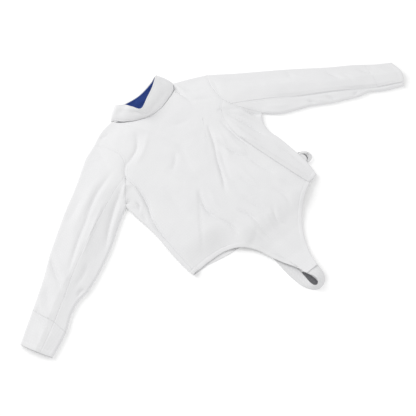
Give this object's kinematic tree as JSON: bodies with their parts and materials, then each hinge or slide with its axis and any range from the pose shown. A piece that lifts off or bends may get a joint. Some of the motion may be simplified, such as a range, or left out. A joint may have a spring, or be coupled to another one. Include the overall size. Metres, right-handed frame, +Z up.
{
  "type": "fencing jacket",
  "caption": "White canvas fencing jacket laid flat on its back, with a stand collar lined in blue, a side zip fly, a webbing loop and an elastic crotch strap.",
  "frame": {"origin": "on the surface the jacket lies on, below the middle of its bounding box", "axes": "+X towards the wearer's left cuff, +Y towards the collar, +Z up from the surface, out of the jacket's front"},
  "size_m": [1.3621, 0.7983, 0.0527],
  "materials": {
    "canvas": "white quilted cotton and polyester canvas, matt",
    "lining": "blue woven lining, matt",
    "elastic": "white woven elastic and webbing, matt"
  },
  "bodies": {
    "root": {"front_panel": "canvas", "back_panel": "canvas", "side_panel_right": "canvas", "side_panel_left": "canvas", "sleeve_right_upper": "canvas", "sleeve_right_under": "canvas", "sleeve_left_upper": "canvas", "sleeve_left_under": "canvas", "cuff_right": "canvas", "cuff_left": "canvas", "collar": "canvas", "collar_lining": "lining", "crotch_strap": "elastic", "side_loop": "elastic", "zip_fly": "canvas"}
  },
  "joints": []
}
